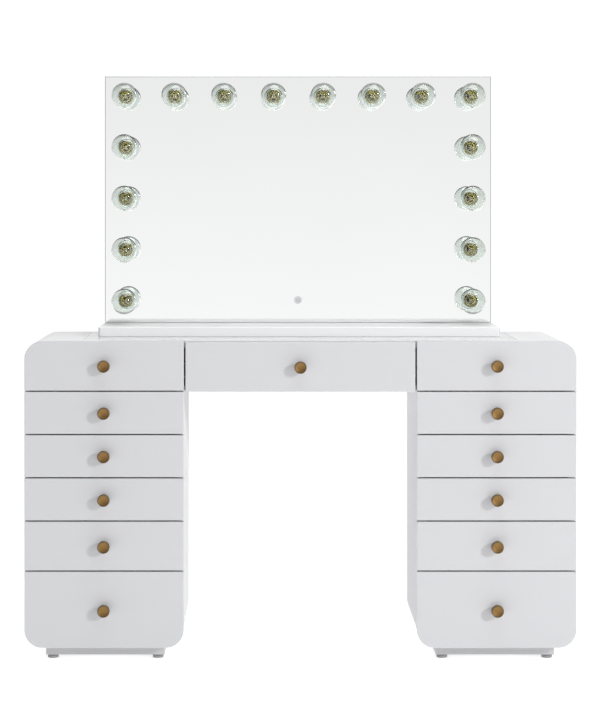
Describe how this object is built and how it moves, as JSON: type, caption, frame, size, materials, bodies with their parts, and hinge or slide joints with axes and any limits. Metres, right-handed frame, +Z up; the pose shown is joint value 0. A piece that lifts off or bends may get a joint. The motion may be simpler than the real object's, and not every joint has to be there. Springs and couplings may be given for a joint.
{
  "type": "vanity styling station",
  "caption": "White vanity desk with drawer pedestals either side of a knee space, a glass top inlay and a frameless mirror ringed with globe lamps",
  "frame": {"origin": "on the floor, under the middle of the bounding box", "axes": "+Z up, -Y towards the person seated at the desk, +X to that person's right"},
  "size_m": [1.35, 0.456, 1.4535],
  "materials": {
    "lacquered_carcass": "satin white lacquer over board",
    "lacquered_front": "satin white lacquer over board",
    "drawer_box_board": "pale foil-faced board",
    "knob_brass": "brushed antique brass",
    "inlay_glass": "polished safety glass",
    "plinth_board": "matt grey paint over board",
    "glide_plastic": "moulded",
    "runner_steel": "zinc plated",
    "base_steel": "satin white powder coat",
    "pad_rubber": "matt",
    "post_steel": "zinc plated",
    "tray_steel": "satin white powder coat",
    "mirror_silver": "silvered glass, bevelled edge",
    "switch_plastic": "gloss, pale grey ring",
    "holder_brass": "spun, satin",
    "cap_brass": "bright",
    "globe_glass": "clear",
    "filament_phosphor": "yellow coated filament on a clear stem",
    "driver_plastic": "moulded",
    "inlet_plastic": "moulded"
  },
  "bodies": {
    "desk": {"desktop": "lacquered_carcass", "glass_inlay": "inlay_glass", "curved_corners": "lacquered_carcass", "side_panels": "lacquered_carcass", "floor_boards": "lacquered_carcass", "back_panels": "lacquered_carcass", "plinths": "plinth_board", "glides": "glide_plastic", "cabinet_runners": "runner_steel", "mirror_base": "base_steel", "mirror_base_pads": "pad_rubber", "mirror_posts": "post_steel", "mirror_tray": "tray_steel", "mirror_glass": "mirror_silver", "touch_switch": "switch_plastic", "lamp_holders": "holder_brass", "bulb_caps": "cap_brass", "bulb_globes": "globe_glass", "bulb_filaments": "filament_phosphor", "led_driver": "driver_plastic", "power_inlet": "inlet_plastic"},
    "drawer_centre": {"drawer_centre_front": "lacquered_front", "drawer_centre_box": "drawer_box_board", "drawer_centre_knob": "knob_brass"},
    "drawer_left_1": {"drawer_left_1_front": "lacquered_front", "drawer_left_1_box": "drawer_box_board", "drawer_left_1_knob": "knob_brass"},
    "drawer_left_2": {"drawer_left_2_front": "lacquered_front", "drawer_left_2_box": "drawer_box_board", "drawer_left_2_knob": "knob_brass"},
    "drawer_left_3": {"drawer_left_3_front": "lacquered_front", "drawer_left_3_box": "drawer_box_board", "drawer_left_3_knob": "knob_brass"},
    "drawer_left_4": {"drawer_left_4_front": "lacquered_front", "drawer_left_4_box": "drawer_box_board", "drawer_left_4_knob": "knob_brass"},
    "drawer_left_5": {"drawer_left_5_front": "lacquered_front", "drawer_left_5_box": "drawer_box_board", "drawer_left_5_knob": "knob_brass"},
    "drawer_left_6": {"drawer_left_6_front": "lacquered_front", "drawer_left_6_box": "drawer_box_board", "drawer_left_6_knob": "knob_brass"},
    "drawer_right_1": {"drawer_right_1_front": "lacquered_front", "drawer_right_1_box": "drawer_box_board", "drawer_right_1_knob": "knob_brass"},
    "drawer_right_2": {"drawer_right_2_front": "lacquered_front", "drawer_right_2_box": "drawer_box_board", "drawer_right_2_knob": "knob_brass"},
    "drawer_right_3": {"drawer_right_3_front": "lacquered_front", "drawer_right_3_box": "drawer_box_board", "drawer_right_3_knob": "knob_brass"},
    "drawer_right_4": {"drawer_right_4_front": "lacquered_front", "drawer_right_4_box": "drawer_box_board", "drawer_right_4_knob": "knob_brass"},
    "drawer_right_5": {"drawer_right_5_front": "lacquered_front", "drawer_right_5_box": "drawer_box_board", "drawer_right_5_knob": "knob_brass"},
    "drawer_right_6": {"drawer_right_6_front": "lacquered_front", "drawer_right_6_box": "drawer_box_board", "drawer_right_6_knob": "knob_brass"}
  },
  "joints": [
    {"name": "drawer_centre_slide", "type": "slide", "parent": "desk", "child": "drawer_centre", "axis": [0, -1, 0], "range_m": [0, 0.262]},
    {"name": "drawer_left_1_slide", "type": "slide", "parent": "desk", "child": "drawer_left_1", "axis": [0, -1, 0], "range_m": [0, 0.262]},
    {"name": "drawer_left_2_slide", "type": "slide", "parent": "desk", "child": "drawer_left_2", "axis": [0, -1, 0], "range_m": [0, 0.262]},
    {"name": "drawer_left_3_slide", "type": "slide", "parent": "desk", "child": "drawer_left_3", "axis": [0, -1, 0], "range_m": [0, 0.262]},
    {"name": "drawer_left_4_slide", "type": "slide", "parent": "desk", "child": "drawer_left_4", "axis": [0, -1, 0], "range_m": [0, 0.262]},
    {"name": "drawer_left_5_slide", "type": "slide", "parent": "desk", "child": "drawer_left_5", "axis": [0, -1, 0], "range_m": [0, 0.262]},
    {"name": "drawer_left_6_slide", "type": "slide", "parent": "desk", "child": "drawer_left_6", "axis": [0, -1, 0], "range_m": [0, 0.262]},
    {"name": "drawer_right_1_slide", "type": "slide", "parent": "desk", "child": "drawer_right_1", "axis": [0, -1, 0], "range_m": [0, 0.262]},
    {"name": "drawer_right_2_slide", "type": "slide", "parent": "desk", "child": "drawer_right_2", "axis": [0, -1, 0], "range_m": [0, 0.262]},
    {"name": "drawer_right_3_slide", "type": "slide", "parent": "desk", "child": "drawer_right_3", "axis": [0, -1, 0], "range_m": [0, 0.262]},
    {"name": "drawer_right_4_slide", "type": "slide", "parent": "desk", "child": "drawer_right_4", "axis": [0, -1, 0], "range_m": [0, 0.262]},
    {"name": "drawer_right_5_slide", "type": "slide", "parent": "desk", "child": "drawer_right_5", "axis": [0, -1, 0], "range_m": [0, 0.262]},
    {"name": "drawer_right_6_slide", "type": "slide", "parent": "desk", "child": "drawer_right_6", "axis": [0, -1, 0], "range_m": [0, 0.262]}
  ]
}
